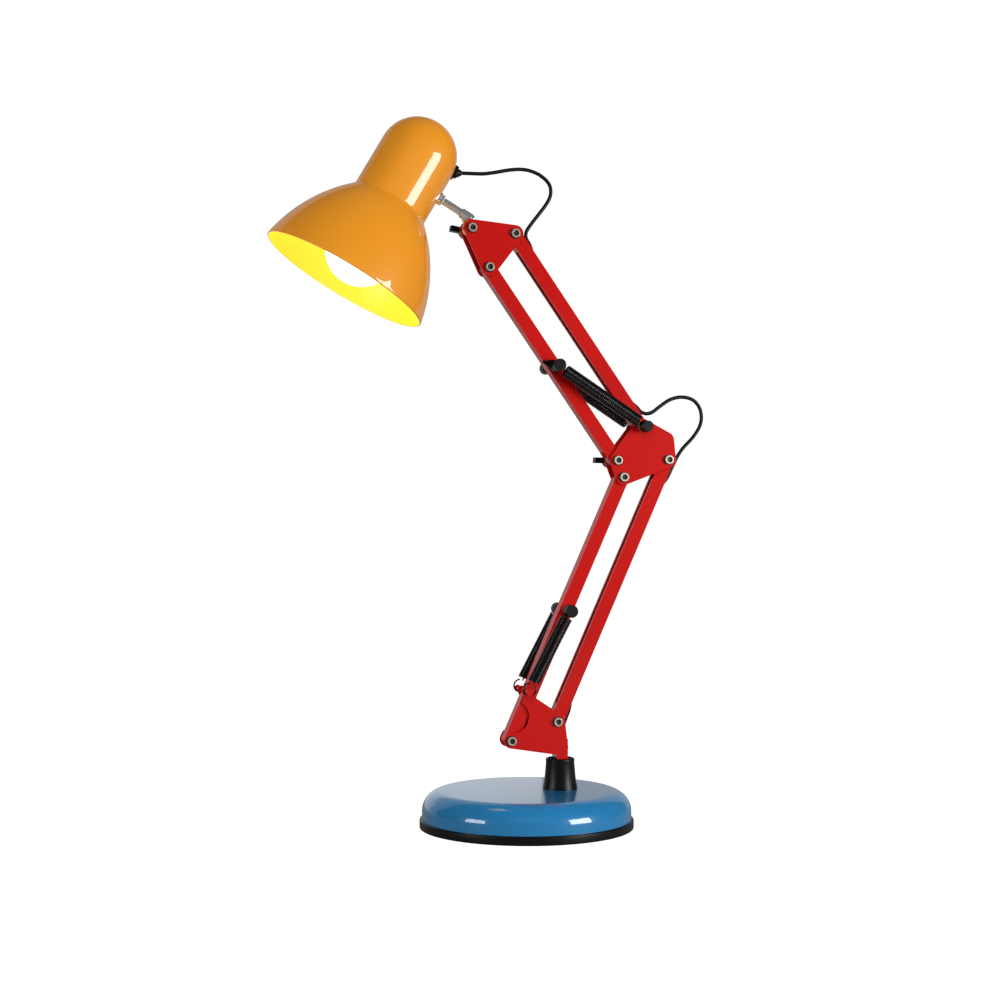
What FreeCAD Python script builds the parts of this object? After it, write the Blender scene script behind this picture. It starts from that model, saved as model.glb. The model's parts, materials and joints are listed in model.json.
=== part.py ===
"""Architect desk lamp: two spring-balanced parallelogram arms on a round swivelling foot.

FreeCAD 1.1 macro, millimetres. +Z is up, the arms fold in the XZ plane, the shade points
towards -X, and the origin is the centre of the foot's underside.
"""
import FreeCAD, Part
import math
import os
import Sketcher
from FreeCAD import Placement, Rotation, Vector

SIZES = {
    # foot
    "base_radius": 90.0,
    "rim_height": 7.5,
    "rim_wall": 2.0,
    "rim_lip": 4.0,
    "cover_height": 31.0,
    "cover_corner": 17.0,
    "cover_wall": 1.2,
    "pad_radius": 80.0,
    "pad_thickness": 1.5,
    "tray_thickness": 1.5,
    "weight_radius": 74.0,
    "weight_height": 12.0,
    "weight_hole": 17.0,
    "lead_slot": 6.0,
    "gland_height": 12.0,
    "gland_radius": 3.0,
    "gland_flange": 4.2,
    "gland_reach": 5.0,
    "gland_tail": 3.0,
    # swivel
    "swivel_x": 29.3,
    "socket_radius": 14.5,
    "socket_waist": 13.2,
    "socket_flare": 6.0,
    "socket_lip": 1.7,
    "socket_height": 26.0,
    "cup_play": 1.9,
    "cup_depth": 9.0,
    "spigot_radius": 8.0,
    "spigot_length": 7.0,
    "ring_nut_radius": 12.0,
    "pin_radius": 4.6,
    "pin_bore": 2.0,
    "pin_foot": 19.0,
    "swivel_play": 0.2,
    "pin_washer_radius": 10.0,
    "pin_washer_thickness": 1.2,
    "pin_nut_radius": 8.0,
    "pin_nut_height": 3.2,
    "pin_nut_gap": 0.3,
    "bush_thickness": 1.5,
    "bush_gap": 0.4,
    "block_height": 12.5,
    "tongue_half": 4.7,
    "tongue_gap": 0.5,
    # arms
    "front_pivot_x": -15.1,
    "front_pivot_z": 73.3,
    "lower_offset_x": 40.1,
    "lower_offset_z": 15.0,
    "lower_arm": 241.5,
    "lower_angle": 66.0,
    "elbow_step_x": -5.4,
    "elbow_step_z": 14.3,
    "upper_offset_x": 22.2,
    "upper_offset_z": 28.7,
    "upper_arm": 195.3,
    "upper_angle": 124.9,
    "head_step_x": -14.8,
    "head_step_z": 32.3,
    "corner_x": 38.3,
    "corner_z": 31.7,
    "neck_x": 43.0,
    "neck_z": -7.0,
    "crest_x": 15.4,
    "crest_z": 31.5,
    "notch_x": 1.7,
    "notch_z": 20.0,
    "notch_radius": 13.5,
    "plate_margin": 6.8,
    "foot_margin": 6.4,
    "head_margin": 7.1,
    "plate_thickness": 1.5,
    "bar_half": 5.75,
    "bar_wall": 1.0,
    "bar_slot": 3.0,
    "slot_inset": 14.0,
    "lead_hole": 20.5,
    "lead_hole_long": 10.0,
    "lead_hole_wide": 4.4,
    # pivots
    "bush_washer": 0.75,
    "bush_washer_radius": 5.4,
    "sleeve_radius": 3.2,
    "bolt_radius": 2.0,
    "bolt_play": 0.1,
    "bolt_head_radius": 3.7,
    "bolt_head": 2.6,
    "washer_radius": 4.4,
    "washer_thickness": 0.6,
    "key_radius": 2.5,
    "key_depth": 1.5,
    "nut_radius": 4.0,
    "nut_height": 3.2,
    "bolt_proud": 0.6,
    "knob_gap": 0.2,
    "knob_radius": 6.2,
    "knob_height": 10.0,
    "knob_floor": 2.0,
    "wing_low": 4.0,
    "wing_height": 7.5,
    "wing_reach": 13.5,
    "wing_half": 2.4,
    # springs and their posts
    "spring_plane": 16.5,
    "spring_radius": 5.4,
    "spring_wire": 0.7,
    "spring_end_gap": 8.0,
    "hook_end_gap": 7.2,
    "post_radius": 2.5,
    "post_reach": 22.5,
    "lower_post": 118.5,
    "upper_post": 96.0,
    "spool_radius": 5.3,
    "spool_groove": 3.3,
    "spool_start": 12.6,
    "spool_end": 1.5,
    "stud_collar": 14.0,
    "collar_radius": 4.2,
    "groove_half": 0.9,
    "cap_radius": 4.5,
    "loop_radius": 4.1,
    "hook_x": 13.7,
    "hook_z": 43.6,
    "hook_loop": 5.3,
    "hook_radius": 1.9,
    "hook_lip": 3.0,
    "hook_reach": 3.0,
    "lip_thickness": 1.2,
    "lug_radius": 3.4,
    # head link and shade
    "shade_tilt": 30.6,
    "link_station": 101.0,
    "link_reach": 68.2,
    "link_drop": 7.6,
    "rod_radius": 3.0,
    "rod_play": 0.05,
    "rod_inside": 6.5,
    "rod_head_radius": 3.9,
    "rod_head": 1.6,
    "rod_nut_radius": 5.0,
    "flange_nut_height": 3.0,
    "saddle_radius": 5.4,
    "saddle_height": 1.0,
    "back_nut_height": 2.6,
    "ferrule_start": 54.8,
    "ferrule_end": 64.3,
    "ferrule_radius": 4.2,
    "eye_radius": 6.3,
    "eye_half": 2.5,
    "web_half": 4.0,
    "spacer_radius": 4.6,
    "mouth_radius": 72.6,
    "bell_height": 74.0,
    "bell_curve": 133.6,
    "neck_radius": 32.8,
    "dome_start": 120.9,
    "shade_wall": 0.9,
    "bead_radius": 1.0,
    "relief_station": 126.3,
    "relief_radius": 6.4,
    "relief_flange": 1.2,
    "relief_depth": 2.4,
    "relief_nose": 6.0,
    "relief_nose_radius": 5.0,
    "relief_wall": 0.7,
    "relief_gap": 0.2,
    # lamp
    "bulb_low": -1.0,
    "bulb_radius": 30.0,
    "bulb_shoulder": 42.0,
    "bulb_shoulder_radius": 27.0,
    "bulb_neck": 79.0,
    "cap_radius_e27": 13.2,
    "cap_top": 104.0,
    "holder_radius": 19.5,
    "holder_low": 80.0,
    "holder_top": 119.0,
    "holder_bore": 14.0,
    "strap_station": 121.0,
    "strap_thickness": 1.2,
    "strap_half": 5.0,
    "strap_tail": 7.0,
    "strap_end": 10.0,
    "strap_gap": 0.4,
    "nipple_radius": 4.2,
    "nipple_length": 7.0,
    "lock_nut_radius": 6.5,
    "lock_nut_height": 2.4,
    "bulb_tip": 3.0,
    # lead
    "lead_radius": 1.6,
}

ALONG_X = Rotation(Vector(0, 1, 0), 90)
ALONG_Y = Rotation(Vector(1, 0, 0), -90)
ALONG_Z = Rotation()
TOWARDS_NEAR = Rotation(Vector(1, 0, 0), 90)
NEAR, FAR = -1, 1

doc = FreeCAD.newDocument("desk_lamp")
sheet = doc.addObject("Spreadsheet::Sheet", "sizes")
for row, (alias, number) in enumerate(SIZES.items(), 1):
    sheet.set("A%d" % row, alias)
    sheet.set("B%d" % row, str(number))
    sheet.setAlias("B%d" % row, alias)
doc.recompute()
nodes = []


# ---------------------------------------------------------------- sizes and formulas
def amount(text):
    """The value of a sum such as "cover_height - cover_wall"."""
    total, sign = 0.0, 1.0
    for word in str(text).split():
        if word in "+-":
            sign = 1.0 if word == "+" else -1.0
        elif word[0].isalpha():
            total += sign * float(sheet.get(word))
        else:
            total += sign * float(word)
    return total


def formula(text):
    """The same sum as an expression on the sheet's cells."""
    return " ".join("sizes." + word if word[0].isalpha() else word for word in str(text).split())


def bind(thing, **sizes):
    for name, text in sizes.items():
        thing.setExpression(name, formula(text))
    return thing


def keep(label, thing):
    """Name a finished sub-part, which makes it a node."""
    thing.Label = label
    nodes.append(thing)
    return thing


# ---------------------------------------------------------------- solids
def cylinder(radius, length, start, turn=ALONG_Z):
    rod = bind(doc.addObject("Part::Cylinder", "rod"), Radius=radius, Height=length)
    rod.Placement = Placement(start, turn)
    return rod


def cone(low, high, length, start, turn=ALONG_Z):
    taper = bind(doc.addObject("Part::Cone", "taper"), Radius1=low, Radius2=high, Height=length)
    taper.Placement = Placement(start, turn)
    return taper


def box(length, width, height, corner, turn=ALONG_Z):
    block = bind(doc.addObject("Part::Box", "block"), Length=length, Width=width, Height=height)
    block.Placement = Placement(corner, turn)
    return block


def hexagon(radius, height, start, turn=ALONG_Z):
    prism = bind(doc.addObject("Part::Prism", "hexagon"), Circumradius=radius, Height=height)
    prism.Polygon = 6
    prism.Placement = Placement(start, turn)
    return prism


def ring(radius, wire, centre, turn=ALONG_Z):
    torus = bind(doc.addObject("Part::Torus", "ring"), Radius1=radius, Radius2=wire)
    torus.Placement = Placement(centre, turn)
    return torus


def fuse(*pieces):
    if len(pieces) == 1:
        return pieces[0]
    whole = doc.addObject("Part::MultiFuse", "fused")
    whole.Shapes = list(pieces)
    return whole


def cut(base, *tools):
    rest = doc.addObject("Part::Cut", "cut")
    rest.Base = base
    rest.Tool = fuse(*tools)
    return rest


def group(label, pieces):
    """Separate alike pieces that share one node."""
    bundle = doc.addObject("Part::Compound", "group")
    bundle.Links = list(pieces)
    return keep(label, bundle)


def tube(outer, inner, length, start, turn=ALONG_Z):
    return cut(cylinder(outer, length, start, turn), cylinder(inner, length, start, turn))


# ---------------------------------------------------------------- sketches
def plane_sketch(body):
    """A sketch on the body's own XZ plane, whose normal is -Y."""
    sketch = body.newObject("Sketcher::SketchObject", "outline")
    plane = [feature for feature in body.Origin.OriginFeatures if feature.Role == "XZ_Plane"][0]
    sketch.AttachmentSupport = (plane, "")
    sketch.MapMode = "FlatFace"
    return sketch


def pin_point(sketch, edge, end, across, up):
    """Hold a point at sums of the sheet's sizes from the sketch's origin."""
    for kind, axis, text in (("DistanceX", -2, across), ("DistanceY", -1, up)):
        if text == "0":
            sketch.addConstraint(Sketcher.Constraint("PointOnObject", edge, end, axis))
        else:
            held = Sketcher.Constraint(kind, -1, 1, edge, end, amount(text))
            number = sketch.addConstraint(held)
            sketch.setExpression("Constraints[%d]" % number, formula(text))


def hold_radius(sketch, edge, radius):
    number = sketch.addConstraint(Sketcher.Constraint("Radius", edge, amount(radius)))
    sketch.setExpression("Constraints[%d]" % number, formula(radius))


def arc_centre(start, end, radius):
    """The centre of the arc from start to end that bulges to its right-hand side."""
    chord = end - start
    middle = (start + end) * 0.5
    left = Vector(-chord.y, chord.x, 0).normalize()
    return middle + left * math.sqrt(max(radius * radius - chord.Length ** 2 / 4.0, 0.0))


def profile(sketch, corners, arcs=None):
    """A closed outline through the corners; arcs gives the radius of a bulging edge."""
    arcs = arcs or {}
    points = [Vector(amount(x), amount(z), 0) for x, z in corners]
    count = len(points)
    for edge in range(count):
        start, end = points[edge], points[(edge + 1) % count]
        if edge in arcs:
            radius = amount(arcs[edge])
            centre = arc_centre(start, end, radius)
            first = math.atan2(start.y - centre.y, start.x - centre.x)
            last = math.atan2(end.y - centre.y, end.x - centre.x)
            circle = Part.Circle(centre, Vector(0, 0, 1), radius)
            sketch.addGeometry(Part.ArcOfCircle(circle, first, last), False)
        else:
            sketch.addGeometry(Part.LineSegment(start, end), False)
    for edge in range(count):
        joined = Sketcher.Constraint("Coincident", edge, 2, (edge + 1) % count, 1)
        sketch.addConstraint(joined)
    for edge in range(count):
        pin_point(sketch, edge, 1, *corners[edge])
        if edge in arcs:
            hold_radius(sketch, edge, arcs[edge])


def hull(sketch, centres, radius):
    """The outline of a band stretched anticlockwise round equal discs."""
    points = [Vector(amount(x), amount(z), 0) for x, z in centres]
    count = len(points)
    reach = amount(radius)
    normals = []
    for corner in range(count):
        run = points[(corner + 1) % count] - points[corner]
        normals.append(Vector(run.y, -run.x, 0).normalize())
    for corner in range(count):
        before, after = normals[corner - 1], normals[corner]
        circle = Part.Circle(points[corner], Vector(0, 0, 1), reach)
        first = math.atan2(before.y, before.x)
        last = math.atan2(after.y, after.x)
        sketch.addGeometry(Part.ArcOfCircle(circle, first, last), False)
        run_end = points[(corner + 1) % count] + after * reach
        sketch.addGeometry(Part.LineSegment(points[corner] + after * reach, run_end), False)
    for corner in range(count):
        arc, line, next_arc = 2 * corner, 2 * corner + 1, (2 * corner + 2) % (2 * count)
        sketch.addConstraint(Sketcher.Constraint("Tangent", arc, 2, line, 1))
        sketch.addConstraint(Sketcher.Constraint("Tangent", line, 2, next_arc, 1))
        pin_point(sketch, arc, 3, *centres[corner])
        hold_radius(sketch, arc, radius)


def revolved(name, corners, arcs=None):
    """A body turned round its own Z axis."""
    body = doc.addObject("PartDesign::Body", name)
    sketch = plane_sketch(body)
    profile(sketch, corners, arcs)
    turned = body.newObject("PartDesign::Revolution", "turned")
    turned.Profile = sketch
    turned.ReferenceAxis = (sketch, ["V_Axis"])
    turned.Angle = 360.0
    return body


def sheet_metal(name, centres, margin, place):
    """A flat plate of the band round the centres, padded towards -Y from its place."""
    body = doc.addObject("PartDesign::Body", name)
    sketch = plane_sketch(body)
    hull(sketch, centres, margin)
    pad = body.newObject("PartDesign::Pad", "pad")
    pad.Profile = sketch
    bind(pad, Length="plate_thickness")
    body.Placement = Placement(place, ALONG_Z)
    return body


# ---------------------------------------------------------------- the frame of pivots
def at(x, z, y=0.0):
    return Vector(x, y, z)


def along(angle, distance):
    return Vector(distance * math.cos(math.radians(angle)), 0, distance * math.sin(math.radians(angle)))


def step(name):
    return at(amount(name + "_x"), amount(name + "_z"))


FRONT = step("front_pivot")
REAR = FRONT + step("lower_offset")
LOWER_RUN = along(amount("lower_angle"), amount("lower_arm"))
ELBOW_LOW = FRONT + LOWER_RUN
ELBOW_REAR = REAR + LOWER_RUN
ELBOW_FRONT = ELBOW_LOW + step("elbow_step")
ELBOW_POST = ELBOW_FRONT + step("upper_offset")
UPPER_RUN = along(amount("upper_angle"), amount("upper_arm"))
HEAD_LOW = ELBOW_FRONT + UPPER_RUN
HEAD_REAR = ELBOW_POST + UPPER_RUN
HEAD_EYE = HEAD_LOW + step("head_step")
LOWER_POST = FRONT + along(amount("lower_angle"), amount("lower_post"))
UPPER_POST = ELBOW_FRONT + along(amount("upper_angle"), amount("upper_post"))
HOOK_LOOP = FRONT + step("hook")

SHADE_TURN = Rotation(Vector(0, 1, 0), amount("shade_tilt"))
EYE_IN_SHADE = at(amount("link_reach"), amount("link_station - link_drop"))
MOUTH = HEAD_EYE - SHADE_TURN.multVec(EYE_IN_SHADE)
SHADE_PLACE = Placement(MOUTH, SHADE_TURN)

GAP = amount("bar_half + bush_washer")
FACE = GAP + amount("plate_thickness")
SEAT = FACE + amount("washer_thickness")
CUP = "bar_half + bush_washer + plate_thickness + cup_play"


def shade_point(out, station, side=0.0):
    """A point given by its distance from the shade's axis and above its mouth."""
    return SHADE_PLACE.multVec(Vector(out, side, station))


SHADE_ACROSS = SHADE_TURN.multiply(ALONG_X)
RELIEF = shade_point(amount("neck_radius + relief_gap"), amount("relief_station"))


# ---------------------------------------------------------------- fasteners
def across(radius, low, high, centre):
    """A cylinder along Y between two distances from the arms' plane."""
    return cylinder(radius, str(high - low), centre + Vector(0, low, 0), ALONG_Y)


def sleeve_tube(outer, inner, low, high, centre):
    return cut(across(outer, low, high, centre), across(inner, low, high, centre))


def bolt(centre, end):
    """A socket-head bolt whose head is on the near side and whose shank ends at end."""
    shank = across("bolt_radius", -SEAT, end, centre)
    top = centre + Vector(0, -SEAT, 0)
    head = cylinder("bolt_head_radius", "bolt_head", top, TOWARDS_NEAR)
    key_start = centre + Vector(0, -SEAT - amount("bolt_head - key_depth"), 0)
    key = hexagon("key_radius", "key_depth", key_start, TOWARDS_NEAR)
    return cut(fuse(shank, head), key)


def nut(centre):
    body = hexagon("nut_radius", "nut_height", centre + Vector(0, SEAT, 0), ALONG_Y)
    return cut(body, across("bolt_radius + bolt_play", SEAT, SEAT + amount("nut_height"), centre))


def pivot_set(prefix, plain, knobbed=()):
    """One bracket's bolts, each with its nut and spacer sleeve, and their outer washers."""
    centres = list(plain) + list(knobbed)
    bore = "bolt_radius + bolt_play"
    nut_end = SEAT + amount("nut_height + bolt_proud")
    knob_end = SEAT + amount("knob_gap + knob_height - knob_floor - bolt_proud")
    bolts = [bolt(centre, nut_end) for centre in plain]
    bolts += [bolt(centre, knob_end) for centre in knobbed]
    nuts = [nut(centre) for centre in plain]
    sleeves = [sleeve_tube("sleeve_radius", bore, -GAP, GAP, centre) for centre in centres]
    group(prefix + "_bolts", bolts + nuts + sleeves)
    washers = []
    for centre in centres:
        washers.append(sleeve_tube("washer_radius", bore, -SEAT, -FACE, centre))
        washers.append(sleeve_tube("washer_radius", bore, FACE, SEAT, centre))
    group(prefix + "_washers", washers)


def nylon_washers(label, centres):
    """The thin washers between each bar and the plates either side of it."""
    bore = "sleeve_radius + bolt_play"
    bar = amount("bar_half")
    pieces = []
    for centre in centres:
        pieces.append(sleeve_tube("bush_washer_radius", bore, -GAP, -bar, centre))
        pieces.append(sleeve_tube("bush_washer_radius", bore, bar, GAP, centre))
    group(label, pieces)


def wing_knob(label, centre, lean):
    """A hub with two tapering wings, on the far side of a pivot."""
    low = SEAT + amount("knob_gap")
    hub = across("knob_radius", low, low + amount("knob_height"), centre)
    wings = []
    for side in (0, 180):
        turn = Rotation(Vector(0, 1, 0), lean + side)
        corner = turn.multVec(Vector(0, 0, -amount("wing_half")))
        start = centre + corner + Vector(0, low + amount("wing_low"), 0)
        wings.append(box("wing_reach", "wing_height", "wing_half + wing_half", start, turn))
    bore = across("bolt_radius + bolt_play", low, low + amount("knob_height - knob_floor"), centre)
    return keep(label, cut(fuse(hub, *wings), bore))


# ---------------------------------------------------------------- foot
def cover_solid(name, shrink):
    """The cover's outline turned solid, drawn in by what shrink takes off."""
    outer = "base_radius - rim_wall"
    top, low = "cover_height" + shrink, "pad_thickness + tray_thickness" + shrink
    corners = [("0", low), (outer + shrink, low), (outer + shrink, "cover_height - cover_corner"),
               (outer + " - cover_corner", top), ("0", top)]
    return revolved(name, corners, {2: "cover_corner" + shrink})


def foot():
    inner = "base_radius - rim_wall"
    steer = amount("swivel_x")
    shell = cut(cover_solid("cover_outside", ""), cover_solid("cover_inside", " - cover_wall"))
    hole = cylinder("spigot_radius + swivel_play", "cover_height", at(steer, 0))
    gland_at = Vector(0, amount(inner + " - cover_corner"), amount("gland_height"))
    gland_hole = cylinder("gland_radius", "cover_corner + rim_wall", gland_at, ALONG_Y)
    keep("base_cover", cut(shell, hole, gland_hole))

    rim_corners = [("base_radius", "0"), ("base_radius", "rim_height"), (inner, "rim_height"),
                   (inner, "pad_thickness"), ("pad_radius + rim_lip", "pad_thickness"),
                   ("pad_radius + rim_lip", "0")]
    keep("base_rim", revolved("rim", rim_corners))
    keep("base_pad", cylinder("pad_radius", "pad_thickness", at(0, 0)))
    tray = cylinder("base_radius - rim_wall", "tray_thickness", at(0, amount("pad_thickness")))
    keep("base_tray", tray)

    floor = amount("pad_thickness + tray_thickness")
    disc = cylinder("weight_radius", "weight_height", at(0, floor))
    well = cylinder("weight_hole", "weight_height", at(steer, floor))
    slot_corner = Vector(-amount("lead_slot"), 0, floor)
    slot = box("lead_slot + lead_slot", "base_radius", "weight_height", slot_corner)
    link_corner = Vector(-amount("lead_slot"), -amount("lead_slot"), floor)
    link = box("swivel_x", "lead_slot + lead_slot", "weight_height", link_corner)
    keep("base_weight", cut(disc, well, slot, link))

    outside = amount("base_radius - rim_wall")
    start = Vector(0, outside - amount("cover_wall + gland_tail"), amount("gland_height"))
    barrel = cylinder("gland_radius", "gland_tail + cover_wall", start, ALONG_Y)
    flange_at = Vector(0, outside, amount("gland_height"))
    flange = cylinder("gland_flange", "gland_reach - gland_tail", flange_at, ALONG_Y)
    bore = cylinder("lead_radius", "gland_tail + cover_wall + gland_reach", start, ALONG_Y)
    keep("cord_gland", cut(fuse(barrel, flange), bore))


def swivel():
    x = amount("swivel_x")
    top = "cover_height + socket_height"
    corners = [("pin_radius + swivel_play", "cover_height - spigot_length"),
               ("spigot_radius", "cover_height - spigot_length"), ("spigot_radius", "cover_height"),
               ("socket_radius", "cover_height"), ("socket_waist", "cover_height + socket_flare"),
               (CUP + " + socket_lip", top), (CUP, top), (CUP, top + " - cup_depth"),
               ("pin_radius + swivel_play", top + " - cup_depth")]
    socket = revolved("socket", corners)
    socket.Placement = Placement(at(x, 0), ALONG_Z)
    keep("swivel_socket", socket)

    nut_low = amount("cover_height - spigot_length")
    ring_nut = hexagon("ring_nut_radius", "spigot_length - cover_wall", at(x, nut_low))
    thread = cylinder("spigot_radius", "spigot_length", at(x, nut_low))
    keep("socket_nut", cut(ring_nut, thread))

    floor = amount(top + " - cup_depth")
    bush = tube(CUP + " - bush_gap", "pin_radius + swivel_play", "bush_thickness", at(x, floor))
    keep("swivel_bush", bush)

    block_low = floor + amount("bush_thickness")
    half = amount("tongue_half")
    block_corner = Vector(x - half, -GAP, block_low)
    block = box("tongue_half + tongue_half", str(2 * GAP), "block_height", block_corner)
    foot_z = amount("pin_foot")
    pin = cylinder("pin_radius", str(block_low - foot_z), at(x, foot_z))
    bore = cylinder("pin_bore", str(block_low + amount("block_height")), at(x, foot_z))
    keep("swivel_pin", cut(fuse(block, pin), bore))

    washer_low = amount("cover_height - spigot_length - pin_nut_gap - pin_washer_thickness")
    washer = tube("pin_washer_radius", "pin_radius", "pin_washer_thickness", at(x, washer_low))
    nut_start = at(x, washer_low - amount("pin_nut_height"))
    pin_nut = hexagon("pin_nut_radius", "pin_nut_height", nut_start)
    group("pin_nut", [washer, cut(pin_nut, cylinder("pin_radius", "pin_nut_height", nut_start))])


# ---------------------------------------------------------------- brackets
def plate_pair(prefix, origin, centres, margin, holes):
    """The near and far plates of a bracket, mirrored about the arms' plane."""
    plates = []
    for side, start in ((NEAR, -GAP), (FAR, FACE)):
        blank = sheet_metal(prefix, centres, margin, origin + Vector(0, start, 0))
        low, high = (-FACE, -GAP) if side == NEAR else (GAP, FACE)
        bores = [across(radius, low, high, centre) for centre, radius in holes]
        plates.append(cut(blank, *bores))
    return plates


def base_bracket():
    centres = [("0", "0"), ("neck_x", "neck_z"), ("lower_offset_x", "lower_offset_z"),
               ("crest_x", "crest_z")]
    holes = [(FRONT, "bolt_radius + bolt_play"), (REAR, "bolt_radius + bolt_play"),
             (FRONT + step("notch"), "notch_radius")]
    plates = plate_pair("foot_plate", FRONT, centres, "foot_margin", holes)
    x = amount("swivel_x")
    half = amount("tongue_half")
    tongue_low = amount("cover_height + socket_height - cup_depth + bush_thickness + tongue_gap")
    crest = FRONT + step("crest")
    run = along(amount("lower_angle"), 1.0)
    peg = HOOK_LOOP - run * (amount("hook_loop - spring_wire - hook_radius"))
    reach = peg - crest
    lean = Rotation(Vector(0, -1, 0), math.degrees(math.atan2(reach.z, reach.x)))
    outer = amount("spring_plane + hook_reach")
    lip = amount("lip_thickness")
    finished = []
    for side, plate in ((NEAR, plates[0]), (FAR, plates[1])):
        low, high = (-FACE, -GAP) if side == NEAR else (GAP, FACE)
        tongue = box("tongue_half + tongue_half", "plate_thickness",
                     str(FRONT.z - tongue_low), Vector(x - half, low, tongue_low))
        lug = across("lug_radius", low, high, peg)
        arm_corner = crest + Vector(0, low, 0) + lean.multVec(Vector(0, 0, -amount("lug_radius")))
        arm = box(str(reach.Length), "plate_thickness", "lug_radius + lug_radius", arm_corner, lean)
        ends = (-outer, -FACE) if side == NEAR else (FACE, outer)
        lips = (-outer - lip, -outer) if side == NEAR else (outer, outer + lip)
        hook = fuse(across("hook_radius", ends[0], ends[1], peg),
                    across("hook_lip", lips[0], lips[1], peg))
        finished.append(fuse(plate, tongue, lug, arm, hook))
    group("base_bracket_plates", finished)
    pivot_set("base", [FRONT, REAR])
    nylon_washers("base_nylon_washers", [FRONT, REAR])


def elbow():
    centres = [("0", "0"), ("lower_offset_x", "lower_offset_z"), ("corner_x", "corner_z"),
               ("elbow_step_x + upper_offset_x", "elbow_step_z + upper_offset_z"),
               ("elbow_step_x", "elbow_step_z")]
    bore = "bolt_radius + bolt_play"
    holes = [(ELBOW_LOW, bore), (ELBOW_REAR, bore), (ELBOW_FRONT, bore),
             (ELBOW_POST, "post_radius + bolt_play")]
    group("elbow_plates", plate_pair("elbow_plate", ELBOW_LOW, centres, "plate_margin", holes))
    pivot_set("elbow", [ELBOW_LOW, ELBOW_REAR], [ELBOW_FRONT])
    nylon_washers("elbow_nylon_washers", [ELBOW_LOW, ELBOW_REAR, ELBOW_FRONT, ELBOW_POST])
    end = amount("stud_collar")
    post_bore = "post_radius + bolt_play"
    collars = [sleeve_tube("collar_radius", post_bore, -end, -FACE, ELBOW_POST),
               sleeve_tube("collar_radius", post_bore, FACE, end, ELBOW_POST),
               sleeve_tube("sleeve_radius", post_bore, -GAP, GAP, ELBOW_POST)]
    spring_stud("elbow", ELBOW_POST, collars)


def head():
    centres = [("0", "0"), ("upper_offset_x", "upper_offset_z"), ("head_step_x", "head_step_z")]
    bore = "bolt_radius + bolt_play"
    holes = [(HEAD_LOW, bore), (HEAD_REAR, bore), (HEAD_EYE, bore)]
    group("head_plates", plate_pair("head_plate", HEAD_LOW, centres, "head_margin", holes))
    pivot_set("head", [HEAD_LOW, HEAD_REAR], [HEAD_EYE])
    nylon_washers("head_nylon_washers", [HEAD_LOW, HEAD_REAR])


# ---------------------------------------------------------------- arms
def bar(label, start, angle, length, post=None):
    """A square tube with rounded ends between two pivots; X runs along it.

    The bar with no post carries the lead: a slot in its far face and a hole near each end of its rear face.
    """
    half = amount("bar_half")
    wide = "bar_half + bar_half"
    blank = box(length, wide, wide, Vector(0, -half, -half))
    ends = [cylinder("bar_half", wide, Vector(x, -half, 0), ALONG_Y) for x in (0.0, amount(length))]
    inside = amount("bar_half - bar_wall")
    hollow_wide = "bar_half + bar_half - bar_wall - bar_wall"
    hollow_corner = Vector(-2 * half, -inside, -inside)
    hollow = box(length + " + " + " + ".join(["bar_half"] * 4), hollow_wide, hollow_wide, hollow_corner)
    tools = [hollow]
    for x in (0.0, amount(length)):
        tools.append(cylinder("sleeve_radius + bolt_play", wide, Vector(x, -half, 0), ALONG_Y))
    if post:
        tools.append(cylinder("post_radius", wide, Vector(amount(post), -half, 0), ALONG_Y))
    else:
        slot_corner = Vector(amount("slot_inset"), -amount("bar_slot"), inside)
        slot_length = length + " - slot_inset - slot_inset"
        tools.append(box(slot_length, "bar_slot + bar_slot", "bar_wall", slot_corner))
        hole_x, hole_y = amount("lead_hole_long") / 2, amount("lead_hole_wide") / 2
        for x in (amount("lead_hole"), amount(length + " - lead_hole")):
            corner = Vector(x - hole_x, -hole_y, -half)
            tools.append(box("lead_hole_long", "lead_hole_wide", "bar_wall", corner))
    piece = cut(fuse(blank, *ends), *tools)
    piece.Placement = Placement(start, Rotation(Vector(0, -1, 0), angle))
    return keep(label, piece)


def arms():
    lower, upper = amount("lower_angle"), amount("upper_angle")
    bar("lower_front_bar", FRONT, lower, "lower_arm", post="lower_post")
    bar("lower_rear_bar", REAR, lower, "lower_arm")
    bar("upper_front_bar", ELBOW_FRONT, upper, "upper_arm", post="upper_post")
    bar("upper_rear_bar", ELBOW_POST, upper, "upper_arm")
    spring_stud("lower", LOWER_POST)
    spring_stud("upper", UPPER_POST)


# ---------------------------------------------------------------- springs
def spool(centre, side):
    """A grooved plastic cap that keeps a spring's end loop on its post."""
    at_elbow = centre is ELBOW_POST
    low = amount("stud_collar" if at_elbow else "spool_start")
    outer = "cap_radius" if at_elbow else "spool_radius"
    groove = amount("spring_plane")
    half = amount("groove_half")
    end = amount("post_reach")
    spans = [("spool_radius", low, groove - half), ("spool_groove", groove - half, groove + half),
             (outer, groove + half, end + amount("spool_end"))]
    discs = []
    for radius, start, stop in spans:
        if side == NEAR:
            start, stop = -stop, -start
        discs.append(across(radius, start, stop, centre))
    whole = fuse(*discs)
    span = (low - 1, end) if side == FAR else (-end, -low + 1)
    return cut(whole, across("post_radius", span[0], span[1], centre))


def spring_stud(prefix, centre, collars=()):
    """The rod that two springs pull on, with its collars, and the caps on its ends."""
    reach = amount("post_reach")
    group(prefix + "_spring_stud", [across("post_radius", -reach, reach, centre), *collars])
    group(prefix + "_stud_caps", [spool(centre, NEAR), spool(centre, FAR)])


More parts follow.
